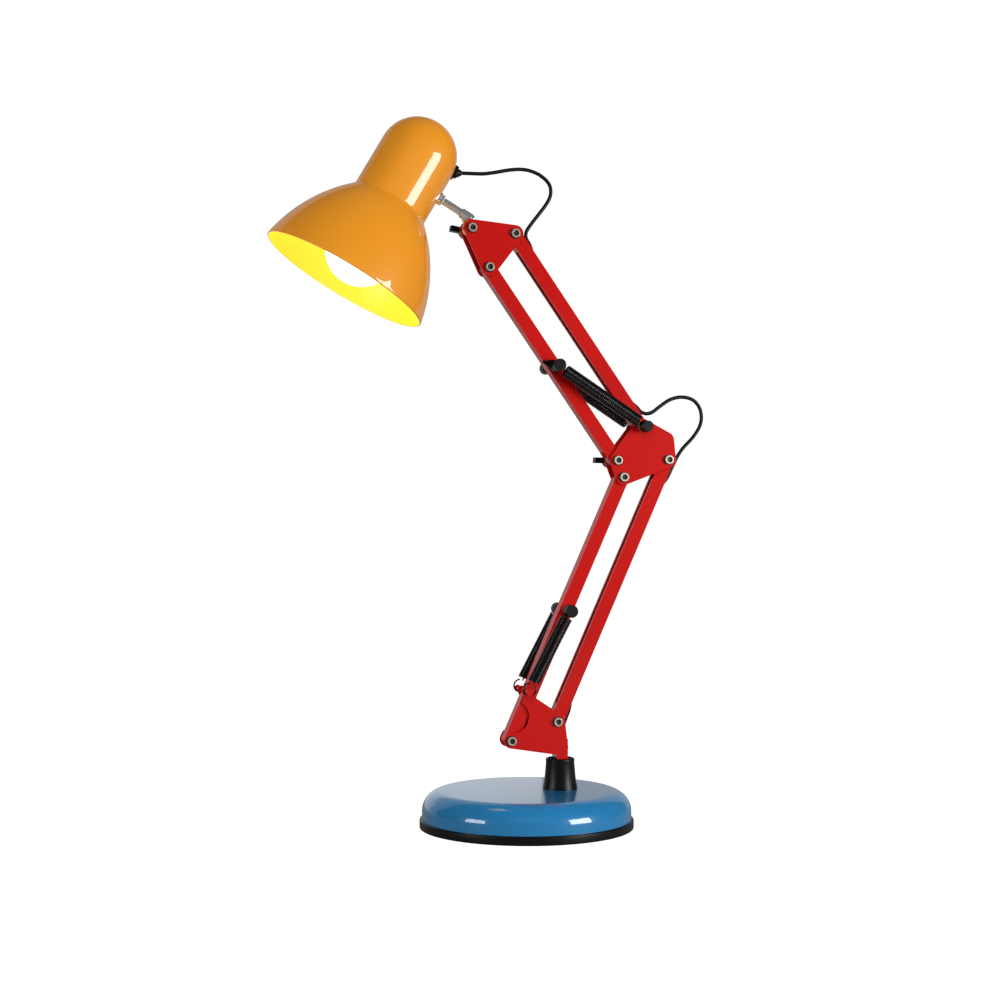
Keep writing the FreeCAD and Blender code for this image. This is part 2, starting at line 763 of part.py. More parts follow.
def spring(post, hook, hook_loop, hook_gap, side):
    """The closed outer shape of one extension spring with a loop at each end."""
    plane = Vector(0, side * amount("spring_plane"), 0)
    run = hook - post
    axis = Vector(run).normalize()
    start = post + plane + axis * amount("spring_end_gap")
    body_length = run.Length - amount("spring_end_gap") - amount(hook_gap)
    turn = Rotation(Vector(0, 0, 1), axis)
    coil = cylinder("spring_radius", str(body_length), start, turn)
    flat = Rotation(Vector(1, 0, 0), 90)
    post_loop = ring("loop_radius", "spring_wire", post + plane, flat)
    hook_ring = ring(hook_loop, "spring_wire", hook + plane, flat)
    post_tail = cylinder("spring_wire", "spring_end_gap - loop_radius + 1",
                         post + plane + axis * amount("loop_radius"), turn)
    tail_length = amount(hook_gap) - amount(hook_loop) + 1.0
    tail_start = hook + plane - axis * (amount(hook_loop) + tail_length)
    hook_tail = cylinder("spring_wire", str(tail_length), tail_start, turn)
    return fuse(coil, post_loop, hook_ring, post_tail, hook_tail)


def springs():
    lower = (LOWER_POST, HOOK_LOOP, "hook_loop", "hook_end_gap")
    upper = (UPPER_POST, ELBOW_POST, "loop_radius", "spring_end_gap")
    group("lower_springs", [spring(*lower, side) for side in (NEAR, FAR)])
    group("upper_springs", [spring(*upper, side) for side in (NEAR, FAR)])


# ---------------------------------------------------------------- head link
def head_link():
    station = amount("link_station")
    start, end = amount("ferrule_start"), amount("ferrule_end")
    ferrule_at = shade_point(start, station)
    length = str(end - start)
    ferrule = tube("ferrule_radius", "rod_radius + rod_play", length, ferrule_at, SHADE_ACROSS)
    keep("link_ferrule", ferrule)

    half = amount("eye_half")
    disc = across("eye_radius", -half, half, HEAD_EYE)
    web_middle = (start + end) / 2.0
    web_low = shade_point(web_middle, station) - HEAD_EYE
    lean = Rotation(Vector(0, -1, 0), math.degrees(math.atan2(web_low.z, web_low.x)))
    web_corner = HEAD_EYE + Vector(0, -half, 0) + lean.multVec(Vector(0, 0, -amount("web_half")))
    web = box(str(web_low.Length), "eye_half + eye_half", "web_half + web_half", web_corner, lean)
    hole = across("sleeve_radius + bolt_play", -half, half, HEAD_EYE)
    clear = cylinder("ferrule_radius", str(2 * end), shade_point(0, station), SHADE_ACROSS)
    keep("link_eye", cut(fuse(disc, web), hole, clear))
    spacers = [sleeve_tube("spacer_radius", "sleeve_radius + bolt_play", low, high, HEAD_EYE)
               for low, high in ((-GAP, -half), (half, GAP))]
    group("link_spacers", spacers)


# ---------------------------------------------------------------- shade and lamp
def shade_solid(name, shrink, low):
    """The shade's outline turned solid, drawn in by what shrink takes off."""
    neck, mouth = "neck_radius" + shrink, "mouth_radius" + shrink
    corners = [("0", low), (mouth, low)]
    if low != "0":
        corners.append((mouth, "0.001"))
    arcs = {len(corners) - 1: "bell_curve"}
    corners += [(neck, "bell_height"), (neck, "dome_start")]
    arcs[len(corners) - 1] = neck
    corners.append(("0", "dome_start + neck_radius" + shrink))
    return revolved(name, corners, arcs)


def shade():
    """The spun shell, with its rolled edge and the holes for the rod and the lead."""
    inner = shade_solid("shade_inside", " - shade_wall", "0 - bead_radius")
    bead = ring("mouth_radius - shade_wall", "bead_radius", at(0, 0))
    through = "neck_radius"
    half_way = amount(through) / 2.0
    rod_hole = cylinder("rod_radius + bolt_play", through, at(half_way, amount("link_station")), ALONG_X)
    relief_hole = cylinder("lead_radius + relief_wall + relief_gap", through,
                           at(half_way, amount("relief_station")), ALONG_X)
    shell = cut(fuse(cut(OUTLINE, inner), bead), rod_hole, relief_hole)
    keep("shade_shell", in_shade(shell))


def in_shade(thing):
    thing.Placement = SHADE_PLACE
    return thing


def link_hardware():
    """The rod that the shade turns on, and the two nuts that grip the neck."""
    station = amount("link_station")
    inside = amount("neck_radius - shade_wall")
    start = amount("neck_radius - rod_inside")
    head_at = amount("ferrule_end + swivel_play")
    rod = cylinder("rod_radius", str(head_at - start), at(start, station), ALONG_X)
    end_head = cylinder("rod_head_radius", "rod_head", at(head_at, station), ALONG_X)
    keep("link_rod", in_shade(fuse(rod, end_head)))

    saddle = cylinder("saddle_radius", "rod_inside + saddle_height", at(start, station), ALONG_X)
    hex_at = at(amount("neck_radius + saddle_height"), station)
    hexed = hexagon("rod_nut_radius", "flange_nut_height", hex_at, ALONG_X)
    bore = cylinder("rod_radius", str(head_at - start), at(start, station), ALONG_X)
    flange_nut = cut(fuse(saddle, hexed), OUTLINE, bore)
    nut_at = inside - amount("strap_thickness + strap_gap + back_nut_height")
    back_nut = hexagon("rod_nut_radius", "back_nut_height", at(nut_at, station), ALONG_X)
    back_bore = cylinder("rod_radius", "back_nut_height", at(nut_at, station), ALONG_X)
    group("rod_nuts", [in_shade(flange_nut), in_shade(cut(back_nut, back_bore))])


def holder_strap():
    """An angle piece from the rod's back nut to the top of the lamp holder."""
    station = amount("link_station")
    inside = amount("neck_radius - shade_wall")
    half = amount("strap_half")
    leg_x = inside - amount("strap_thickness + strap_gap")
    leg_low = station - amount("strap_tail")
    leg = box("strap_thickness + strap_gap", "strap_half + strap_half",
              "strap_station - link_station + strap_tail", Vector(leg_x, -half, leg_low))
    arm_start = -amount("strap_end")
    arm = box(str(leg_x + amount("strap_thickness") - arm_start), "strap_half + strap_half",
              "strap_thickness", Vector(arm_start, -half, amount("strap_station")))
    room = doc.addObject("Part::MultiCommon", "room")
    neck = cylinder("neck_radius - shade_wall", "strap_station + strap_half", at(0, 0))
    room.Shapes = [fuse(leg, arm), neck]
    rod_hole = cylinder("rod_radius + bolt_play", "strap_half", at(leg_x - half / 2, station), ALONG_X)
    nipple_hole = cylinder("nipple_radius + rod_play", "strap_half",
                           at(0, amount("strap_station") - half / 2))
    keep("holder_strap", in_shade(cut(room, rod_hole, nipple_hole)))


def strain_relief():
    """The grommet on the neck, whose nose points away from the shade, level."""
    wall = amount("neck_radius")
    station = amount("relief_station")
    depth = amount("relief_depth")
    disc = cylinder("relief_radius", "relief_depth + relief_flange", at(wall - depth, station), ALONG_X)
    level = SHADE_TURN.inverted().multiply(ALONG_X)
    nose = cone("relief_nose_radius", "lead_radius + relief_wall", "relief_nose",
                at(wall + amount("relief_gap"), station), level)
    seated = cut(fuse(disc, nose), OUTLINE)
    spigot = cylinder("lead_radius + relief_wall", "relief_depth + relief_gap",
                      at(wall - depth, station), ALONG_X)
    keep("strain_relief", in_shade(fuse(seated, spigot)))


def lamp():
    holder = revolved("holder", [("0", "cap_top"), ("holder_bore", "cap_top"),
                                 ("holder_bore", "holder_low"), ("holder_radius", "holder_low"),
                                 ("holder_radius", "holder_top - strap_half"),
                                 ("holder_bore", "holder_top"),
                                 ("0", "holder_top")])
    holder.Placement = SHADE_PLACE
    keep("lamp_holder", holder)
    top = shade_point(0, amount("holder_top"))
    nipple = tube("nipple_radius", "lead_radius + bolt_play", "nipple_length", top, SHADE_TURN)
    lock_at = shade_point(0, amount("strap_station + strap_thickness"))
    lock = hexagon("lock_nut_radius", "lock_nut_height", lock_at, SHADE_TURN)
    lock_bore = cylinder("nipple_radius", "lock_nut_height", lock_at, SHADE_TURN)
    group("holder_nipple", [nipple, cut(lock, lock_bore)])

    glass = revolved("glass", [("0", "bulb_low"), ("bulb_shoulder_radius", "bulb_shoulder"),
                               ("cap_radius_e27 - strap_gap", "bulb_neck"), ("0", "bulb_neck")],
                     {0: "bulb_radius"})
    glass.Placement = SHADE_PLACE
    keep("bulb_glass", glass)
    neck = shade_point(0, amount("bulb_neck"))
    shell = cylinder("cap_radius_e27", "cap_top - bulb_neck - bulb_tip", neck, SHADE_TURN)
    tip_at = shade_point(0, amount("cap_top - bulb_tip"))
    tip = cone("cap_radius_e27 - bulb_tip", "bulb_tip", "bulb_tip", tip_at, SHADE_TURN)
    keep("bulb_cap", fuse(shell, tip))


# ---------------------------------------------------------------- lead
def beside(start, angle, run, out):
    """A point run mm along a bar from its pivot and out mm off its centre line."""
    frame = Rotation(Vector(0, -1, 0), angle)
    return start + frame.multVec(Vector(run, 0, out))


def lead(label, points):
    """A round cord along straight runs joined by tangent arcs."""
    edges, radii, start = [], [], points[0]
    for before, corner, after in zip(points, points[1:], points[2:]):
        back, ahead = before - corner, after - corner
        half_turn = (math.pi - back.getAngle(ahead)) / 2.0
        setback = 0.45 * min(back.Length, ahead.Length)
        radius = setback / math.tan(half_turn)
        radii.append(round(radius, 1))
        first = corner + back.normalize() * setback
        last = corner + ahead.normalize() * setback
        inwards = (back + ahead).normalize()
        middle = corner + inwards * (math.hypot(radius, setback) - radius)
        edges.append(Part.LineSegment(start, first).toShape())
        edges.append(Part.Arc(first, middle, last).toShape())
        start = last
    edges.append(Part.LineSegment(start, points[-1]).toShape())
    path = Part.Wire(edges)
    radius = amount("lead_radius")
    section = Part.Wire(Part.Circle(points[0], points[1] - points[0], radius).toShape())
    stretch = doc.addObject("Part::Feature", "stretch")
    stretch.Shape = path.makePipeShell([section], True, False)
    filled = stretch.Shape.Volume / (math.pi * radius ** 2 * path.Length)
    print(label, "length", round(path.Length, 1), "radii", radii, "volume ratio", round(filled, 4))
    return keep(label, stretch)


def leads():
    lower, upper = amount("lower_angle"), amount("upper_angle")
    outside, wall, inside = -7.6, -4.8, -2.0
    top, length = amount("upper_arm"), amount("lower_arm")

    def on_upper(run, out):
        return beside(ELBOW_POST, upper, run, out)

    def on_lower(run, out):
        return beside(REAR, lower, run, out)

    nose = RELIEF + at(amount("relief_nose"), 0)
    lead("cord_shade_loop_1", [nose, at(-45.5, nose.z), at(-34.0, 547.2), at(-22.0, 549.9)])
    lead("cord_shade_loop_2", [at(-22.0, 549.9), at(-9.5, 552.7), at(4.5, 551.7), at(11.0, 548.4)])
    lead("cord_shade_loop_3", [at(11.0, 548.4), at(20.0, 543.8), at(23.2, 533.0), at(17.8, 524.0),
                               at(6.0, 509.4), on_upper(top - 5.1, outside), on_upper(top - 17, outside),
                               on_upper(top - 22, wall)])
    lead("lead_in_upper_bar", [on_upper(top - 22, wall), on_upper(top - 27, inside),
                               on_upper(top / 2, inside + 0.6), on_upper(27, inside), on_upper(22, wall)])
    lead("cord_elbow_loop_1", [on_upper(22, wall), on_upper(17, outside), at(101.3, 348.6),
                               at(109.6, 348.0), at(118.2, 354.9), at(129.0, 362.1), at(136.5, 362.83)])
    lead("cord_elbow_loop_2", [at(136.5, 362.83), at(146.5, 363.6), at(156.0, 354.5), at(157.0, 340.5),
                               at(147.5, 327.8), at(135.6, 317.3), on_lower(length - 6, -7.8),
                               on_lower(length - 16, outside), on_lower(length - 21, wall)])
    lead("lead_in_lower_bar", [on_lower(length - 21, wall), on_lower(length - 26, inside),
                               on_lower(length / 2, inside + 0.6), on_lower(26, inside), on_lower(21, wall)])
    x = amount("swivel_x")
    block_top = amount("cover_height + socket_height - cup_depth + bush_thickness + block_height")
    lead("cord_foot_loop", [on_lower(21, wall), on_lower(16, outside), on_lower(4, -7.8),
                            at(x, 75.0), at(x, block_top)])
    pin_low = amount("cover_height") - 1.0
    keep("lead_in_pin", cylinder("lead_radius", str(block_top - pin_low), at(x, pin_low)))
    floor = amount("gland_height")
    lead("lead_in_base", [at(x, pin_low), at(x, 9.0), Vector(4.0, 0.8, 8.6), Vector(0.5, 22.0, 9.5),
                          Vector(0, 45.0, floor), Vector(0, amount("base_radius - rim_wall") - 1.0, floor)])
    station = amount("relief_station")
    lead("lead_in_shade", [shade_point(0, amount("holder_top")), shade_point(0, 139.5),
                           shade_point(17.0, 141.5), shade_point(18.0, station),
                           shade_point(amount("neck_radius - relief_depth"), station)])


# ---------------------------------------------------------------- build, check and write
foot()
swivel()
base_bracket()
arms()
elbow()
head()
springs()
wing_knob("elbow_knob", ELBOW_FRONT, 2.0)
wing_knob("head_knob", HEAD_EYE, 10.0)
head_link()
OUTLINE = shade_solid("shade_outside", "", "0")
shade()
link_hardware()
holder_strap()
strain_relief()
lamp()
leads()
doc.recompute()

for thing in doc.Objects:
    if "Invalid" in thing.State or "Error" in thing.State:
        raise RuntimeError("%s (%s) did not build: %s" % (thing.Name, thing.Label, thing.State))
os.makedirs("parts", exist_ok=True)
for node in nodes:
    if node.Shape.isNull() or not node.Shape.isValid() or not node.Shape.Solids:
        raise RuntimeError(node.Label + " has no valid shape")
for node in nodes:
    node.Shape.exportStep("parts/%s.step" % node.Label)
print(len(nodes), "nodes,", sum(len(node.Shape.Solids) for node in nodes), "solids")
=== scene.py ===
# %% [markdown]
# # A balanced-arm desk lamp
# The solid model of the lamp is already made, with every bar, bracket and bolt in its place. This
# notebook dresses it: it loads that model as a frame that never moves, rounds the edges that a press
# or a mould leaves round, winds the springs, lays the lead, and gives every piece its finish.

# %% Load the frame
import json
import math

import bmesh
import bpy
from mathutils import Matrix, Vector

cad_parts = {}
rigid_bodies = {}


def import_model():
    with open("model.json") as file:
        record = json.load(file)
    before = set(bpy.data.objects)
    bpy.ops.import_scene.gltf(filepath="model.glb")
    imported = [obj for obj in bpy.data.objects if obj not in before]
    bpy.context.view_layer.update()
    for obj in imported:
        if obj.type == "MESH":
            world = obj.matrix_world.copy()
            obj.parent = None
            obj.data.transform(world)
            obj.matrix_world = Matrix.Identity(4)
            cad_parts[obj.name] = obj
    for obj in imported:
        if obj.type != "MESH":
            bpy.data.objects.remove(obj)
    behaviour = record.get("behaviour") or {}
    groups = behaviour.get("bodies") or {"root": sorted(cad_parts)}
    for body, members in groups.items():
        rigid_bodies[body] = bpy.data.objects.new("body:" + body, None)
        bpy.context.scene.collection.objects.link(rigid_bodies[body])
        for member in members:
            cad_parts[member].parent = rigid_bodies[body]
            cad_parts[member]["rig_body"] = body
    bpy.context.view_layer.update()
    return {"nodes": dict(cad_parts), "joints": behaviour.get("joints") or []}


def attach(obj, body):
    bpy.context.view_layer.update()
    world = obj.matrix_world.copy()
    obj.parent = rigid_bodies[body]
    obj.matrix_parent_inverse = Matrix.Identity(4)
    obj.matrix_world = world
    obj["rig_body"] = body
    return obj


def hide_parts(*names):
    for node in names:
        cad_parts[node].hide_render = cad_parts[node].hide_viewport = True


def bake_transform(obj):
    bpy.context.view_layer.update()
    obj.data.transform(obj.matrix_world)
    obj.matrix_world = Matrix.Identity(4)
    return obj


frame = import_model()
NODES = frame["nodes"]
BODY_OF = {node: obj["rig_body"] for node, obj in NODES.items()}
PIVOT = {joint["name"]: Vector(joint["pos_m"]) for joint in frame["joints"]}
AXIS = {joint["name"]: Vector(joint["axis"]) for joint in frame["joints"]}
MM = 0.001

# %% [markdown]
# ## Camera
# A long lens far away keeps a tall object's uprights parallel, where a short one close by would lean
# them. The camera stands level, a little to the shade's side of the lamp.

# %% Camera
VIEW_TURN = math.radians(14.0)
CAMERA_PLACE = Vector((-0.398, -1.504, 0.2745))
LENS = 66.6

camera_data = bpy.data.cameras.new("camera")
camera_data.lens = LENS
camera_data.sensor_width = 36.0
camera = bpy.data.objects.new("camera", camera_data)
camera.location = CAMERA_PLACE
camera.rotation_euler = (math.radians(90.0), 0.0, -VIEW_TURN)
bpy.context.scene.collection.objects.link(camera)
bpy.context.scene.camera = camera

# %% [markdown]
# ## Floor and light
# The lamp stands on a pale sweep, a floor that curves up into a wall, so that no horizon shows. The
# sweep glows a little for the camera, which keeps it white while the light on the lamp stays modest.
# A soft lamp like a low window on the right, and a smaller one on the left, make the crisp highlights
# that tell enamel from plastic, and a panel behind is what the flat top of the foot mirrors. The big
# lamps in front, above and behind only fill the shadows, so they are hidden from reflections. The
# room itself is dim, so that black parts stay black, while the wall behind glows enough to give
# every rounded edge its pale rim.

# %% Sweep
def new_object(name, mesh):
    obj = bpy.data.objects.new(name, mesh)
    bpy.context.scene.collection.objects.link(obj)
    return obj


def seen_by_camera(nodes, links, seen, unseen):
    """A number that is one value for the camera and another for the light that bounces."""
    rays = nodes.new("ShaderNodeLightPath")
    span = nodes.new("ShaderNodeMapRange")
    span.inputs["To Min"].default_value = unseen
    span.inputs["To Max"].default_value = seen
    links.new(rays.outputs["Is Camera Ray"], span.inputs["Value"])
    return span.outputs["Result"]


def paper(name, grey, glow, bounce):
    made = bpy.data.materials.new(name)
    made.use_nodes = True
    nodes, links = made.node_tree.nodes, made.node_tree.links
    shader = nodes["Principled BSDF"]
    shader.inputs["Base Color"].default_value = (grey, grey, grey, 1.0)
    shader.inputs["Roughness"].default_value = 0.9
    shader.inputs["Specular IOR Level"].default_value = 0.0
    shader.inputs["Emission Color"].default_value = (1.0, 1.0, 1.0, 1.0)
    links.new(seen_by_camera(nodes, links, glow, bounce), shader.inputs["Emission Strength"])
    return made


def sweep(half_width=4.0, front=-3.0, middle=0.7, back=2.5, bend=1.2, wall_height=3.0):
    """The floor, the bend and the wall as one strip; what is past the middle is the wall's paper."""
    shape = bmesh.new()
    start = shape.verts.new((-half_width, front, 0.0))
    flat = bmesh.ops.extrude_vert_indiv(shape, verts=[start])["verts"][0]
    flat.co.y = middle
    flat = bmesh.ops.extrude_vert_indiv(shape, verts=[flat])["verts"][0]
    flat.co.y = back
    bmesh.ops.spin(shape, geom=[flat], cent=(0.0, back, bend), axis=(1, 0, 0),
                   angle=math.radians(90), steps=16)
    crest = max(shape.verts, key=lambda v: v.co.z)
    wall = bmesh.ops.extrude_vert_indiv(shape, verts=[crest])["verts"][0]
    wall.co.z += wall_height
    made = bmesh.ops.extrude_edge_only(shape, edges=shape.edges[:])
    moved = [v for v in made["geom"] if isinstance(v, bmesh.types.BMVert)]
    bmesh.ops.translate(shape, verts=moved, vec=(2 * half_width, 0, 0))
    for face in shape.faces:
        face.smooth = True
        face.material_index = int(face.calc_center_median().y > 0.0)
    mesh = bpy.data.meshes.new("floor")
    shape.to_mesh(mesh)
    shape.free()
    floor = new_object("floor", mesh)
    floor.data.materials.append(paper("floor_paper", 0.2, glow=1.0, bounce=0.04))
    floor.data.materials.append(paper("wall_paper", 0.2, glow=1.0, bounce=0.34))


sweep()


# %% Lamps
def softbox(name, place, target, size, power, mirrored=True):
    data = bpy.data.lights.new(name, "AREA")
    data.shape = "RECTANGLE"
    data.size, data.size_y = size
    data.energy = power
    lamp = bpy.data.objects.new(name, data)
    lamp.location = place
    aim = Vector(target) - Vector(place)
    lamp.rotation_euler = aim.to_track_quat("-Z", "Y").to_euler()
    lamp.visible_camera = False
    lamp.visible_glossy = mirrored
    bpy.context.scene.collection.objects.link(lamp)


MIDDLE = (0.0, 0.0, 0.3)
softbox("right_window", (1.14, -1.14, 0.36), (0.0, 0.0, 0.36), (0.72, 0.66), 23.0)
softbox("left_window", (-1.52, -0.52, 0.34), (0.0, 0.0, 0.34), (0.66, 0.44), 8.0)
softbox("back_panel", (-0.36, 2.10, 0.50), (-0.36, 0.0, 0.5), (1.9, 0.9), 1.7)
softbox("front_fill", (-0.5, -2.3, 1.3), MIDDLE, (1.8, 1.2), 30.0, mirrored=False)
softbox("top_fill", (0.3, 0.4, 2.2), MIDDLE, (1.4, 1.0), 12.0, mirrored=False)
softbox("rear_fill", (0.5, 1.9, 1.3), MIDDLE, (1.6, 1.2), 22.0, mirrored=False)

world = bpy.data.worlds.new("studio")
world.use_nodes = True
room = world.node_tree.nodes["Background"]
room.inputs["Color"].default_value = (1.0, 1.0, 1.0, 1.0)
world.node_tree.links.new(seen_by_camera(world.node_tree.nodes, world.node_tree.links, 1.0, 0.05),
                          room.inputs["Strength"])
bpy.context.scene.world = world
bpy.context.scene.view_settings.view_transform = "Standard"

# %% [markdown]
# ## Finishes
# A real finish is never one flat colour. Enamel has a faint orange peel, mouldings have a fine grain,
# zinc plate is cloudy, and everything gathers a little dust and polish where it is handled. One node
# group does that drifting for all of them: it takes a colour and how uneven the surface is, and puts
# out a colour, a roughness and a normal that change from place to place. Each material then gives the
# group its own numbers, and keeps its shader and its fixed values to itself.

# %% The uneven surface group
def drifting_group():
    tree = bpy.data.node_groups.new("uneven_surface", "ShaderNodeTree")
    new = tree.interface.new_socket
    new(name="Color", in_out="INPUT", socket_type="NodeSocketColor")
    for name, value in (("Colour Drift", 0.05), ("Cloud Size", 40.0), ("Roughness", 0.4),
                        ("Roughness Spread", 0.08), ("Grain Size", 900.0), ("Grain Depth", 0.1)):
        new(name=name, in_out="INPUT", socket_type="NodeSocketFloat").default_value = value
    new(name="Color", in_out="OUTPUT", socket_type="NodeSocketColor")
    new(name="Roughness", in_out="OUTPUT", socket_type="NodeSocketFloat")
    new(name="Normal", in_out="OUTPUT", socket_type="NodeSocketVector")
    nodes, links = tree.nodes, tree.links
    given = nodes.new("NodeGroupInput")
    out = nodes.new("NodeGroupOutput")
    place = nodes.new("ShaderNodeTexCoord")

    clouds = nodes.new("ShaderNodeTexNoise")
    clouds.inputs["Detail"].default_value = 4.0
    links.new(place.outputs["Object"], clouds.inputs["Vector"])
    links.new(given.outputs["Cloud Size"], clouds.inputs["Scale"])
    grain = nodes.new("ShaderNodeTexNoise")
    grain.inputs["Detail"].default_value = 2.0
    links.new(place.outputs["Object"], grain.inputs["Vector"])
    links.new(given.outputs["Grain Size"], grain.inputs["Scale"])

    centred = nodes.new("ShaderNodeMath")
    centred.operation = "SUBTRACT"
    centred.inputs[1].default_value = 0.5
    links.new(clouds.outputs["Fac"], centred.inputs[0])
    drift = nodes.new("ShaderNodeMath")
    drift.operation = "MULTIPLY_ADD"
    drift.inputs[2].default_value = 1.0
    links.new(centred.outputs[0], drift.inputs[0])
    links.new(given.outputs["Colour Drift"], drift.inputs[1])
    tint = nodes.new("ShaderNodeVectorMath")
    tint.operation = "SCALE"
    links.new(given.outputs["Color"], tint.inputs[0])
    links.new(drift.outputs[0], tint.inputs["Scale"])
    links.new(tint.outputs[0], out.inputs["Color"])

    polish = nodes.new("ShaderNodeMath")
    polish.operation = "MULTIPLY_ADD"
    polish.use_clamp = True
    links.new(centred.outputs[0], polish.inputs[0])
    links.new(given.outputs["Roughness Spread"], polish.inputs[1])
    links.new(given.outputs["Roughness"], polish.inputs[2])
    links.new(polish.outputs[0], out.inputs["Roughness"])

    bump = nodes.new("ShaderNodeBump")
    bump.inputs["Distance"].default_value = 0.0002
    links.new(given.outputs["Grain Depth"], bump.inputs["Strength"])
    links.new(grain.outputs["Fac"], bump.inputs["Height"])
    links.new(bump.outputs["Normal"], out.inputs["Normal"])
    return tree


UNEVEN = drifting_group()


# %% A finish from the group
def finish(name, colour, roughness, drift=0.06, clouds=40.0, spread=0.08, grain=900.0, depth=0.1,
           **fixed):
    """A material on the uneven group; fixed gives the shader's own inputs by name."""
    made = bpy.data.materials.new(name)
    made.use_nodes = True
    nodes, links = made.node_tree.nodes, made.node_tree.links
    shader = nodes["Principled BSDF"]
    group = nodes.new("ShaderNodeGroup")
    group.node_tree = UNEVEN
    group.inputs["Color"].default_value = (*colour, 1.0)
    for socket, value in (("Colour Drift", drift), ("Cloud Size", clouds), ("Roughness", roughness),
                          ("Roughness Spread", spread), ("Grain Size", grain), ("Grain Depth", depth)):
        group.inputs[socket].default_value = value
    links.new(group.outputs["Color"], shader.inputs["Base Color"])
    links.new(group.outputs["Roughness"], shader.inputs["Roughness"])
    links.new(group.outputs["Normal"], shader.inputs["Normal"])
    for socket, value in fixed.items():
        shader.inputs[socket.replace("_", " ")].default_value = value
    return made


# %% [markdown]
# ### The finishes of this lamp
# Enamel is a colour under a clear coat. Zinc and steel are metals whose colour is their reflection.
# The mouldings are black, but a real black still reflects a few percent of the light.

# %% Finishes
FINISH = {
    "amber_enamel": finish("amber_enamel", (0.74, 0.275, 0.014), 0.45, drift=0.05, grain=260.0,
                           depth=0.02, Specular_IOR_Level=0.2, Coat_Weight=0.9, Coat_Roughness=0.04),
    "blue_enamel": finish("blue_enamel", (0.014, 0.17, 0.38), 0.3, drift=0.05, grain=200.0,
                          depth=0.015, Specular_IOR_Level=0.2, Coat_Weight=1.0, Coat_Roughness=0.02),
    "red_enamel": finish("red_enamel", (0.46, 0.005, 0.0035), 0.42, drift=0.08, grain=420.0,
                         depth=0.04, Specular_IOR_Level=0.06, Coat_Weight=0.45, Coat_Roughness=0.08),
    "rim_moulding": finish("rim_moulding", (0.004, 0.004, 0.0045), 0.34, grain=1500.0, depth=0.12,
                           Specular_IOR_Level=0.2),
    "black_moulding": finish("black_moulding", (0.0035, 0.0035, 0.004), 0.36, grain=2200.0, depth=0.2,
                             Specular_IOR_Level=0.2),
    "spring_steel": finish("spring_steel", (0.004, 0.004, 0.004), 0.2, drift=0.3, clouds=220.0,
                           Specular_IOR_Level=0.45),
    "screw_nickel": finish("screw_nickel", (0.50, 0.47, 0.40), 0.3, drift=0.12, clouds=180.0,
                           Metallic=0.6),
    # The next finish is painted shade for the inside of the screws' hexagon sockets.
    "painted_socket_shade": finish("painted_socket_shade", (0.02, 0.018, 0.015), 0.5, drift=0.2, clouds=180.0,
                           Metallic=0.3),
    "link_chrome": finish("link_chrome", (0.82, 0.82, 0.82), 0.16, drift=0.05, clouds=180.0,
                          Metallic=0.85),
    "dark_washer": finish("dark_washer", (0.02, 0.018, 0.016), 0.35, drift=0.3, clouds=200.0,
                          Metallic=0.4),
    "bright_zinc": finish("bright_zinc", (0.6, 0.61, 0.63), 0.3, drift=0.18, clouds=120.0,
                          Metallic=1.0),
    "yellow_zinc": finish("yellow_zinc", (0.78, 0.60, 0.22), 0.3, drift=0.3, clouds=150.0,
                          Metallic=0.7),
    "white_nylon": finish("white_nylon", (0.75, 0.74, 0.7), 0.45, grain=1800.0, depth=0.1),
    "cast_iron": finish("cast_iron", (0.09, 0.085, 0.08), 0.7, drift=0.4, grain=500.0, depth=0.8,
                        Metallic=0.6),
    "grip_rubber": finish("grip_rubber", (0.02, 0.02, 0.02), 0.75, grain=1200.0, depth=0.5),
    "lead_sheath": finish("lead_sheath", (0.003, 0.003, 0.0033), 0.42, drift=0.1, grain=1600.0,
                          depth=0.12, Specular_IOR_Level=0.25),
    "holder_moulding": finish("holder_moulding", (0.62, 0.6, 0.55), 0.5, grain=1500.0, depth=0.2),
    "cap_aluminium": finish("cap_aluminium", (0.75, 0.75, 0.74), 0.3, drift=0.1, Metallic=1.0),
}


# %% [markdown]
# ### Light inside the shade
# The lamp is on. Its globe glows white, and the enamel inside the shade is lit so strongly that it
# looks like a light itself. That light on the enamel is painted light: the enamel is given a glow of
# its own, strongest near the globe and falling off towards the neck and the edge, so its strength
# follows the distance from the middle of the globe.

# %% Glowing finishes
TILT = math.atan2(-AXIS["shade_swivel"].z, AXIS["shade_swivel"].x)
LINK_REACH, LINK_STATION = 68.2 * MM, 93.4 * MM
SHADE_TURN = Matrix.Rotation(TILT, 4, "Y")
MOUTH = PIVOT["head_tilt"] - SHADE_TURN @ Vector((LINK_REACH, 0, LINK_STATION))
SHADE_PLACE = Matrix.Translation(MOUTH) @ SHADE_TURN
GLOBE_STATION, GLOBE_RADIUS = 29.0 * MM, 30.0 * MM
GLOBE = SHADE_PLACE @ Vector((0, 0, GLOBE_STATION))
print("shade leans", round(math.degrees(TILT), 1), "degrees, mouth at", [round(c, 4) for c in MOUTH])


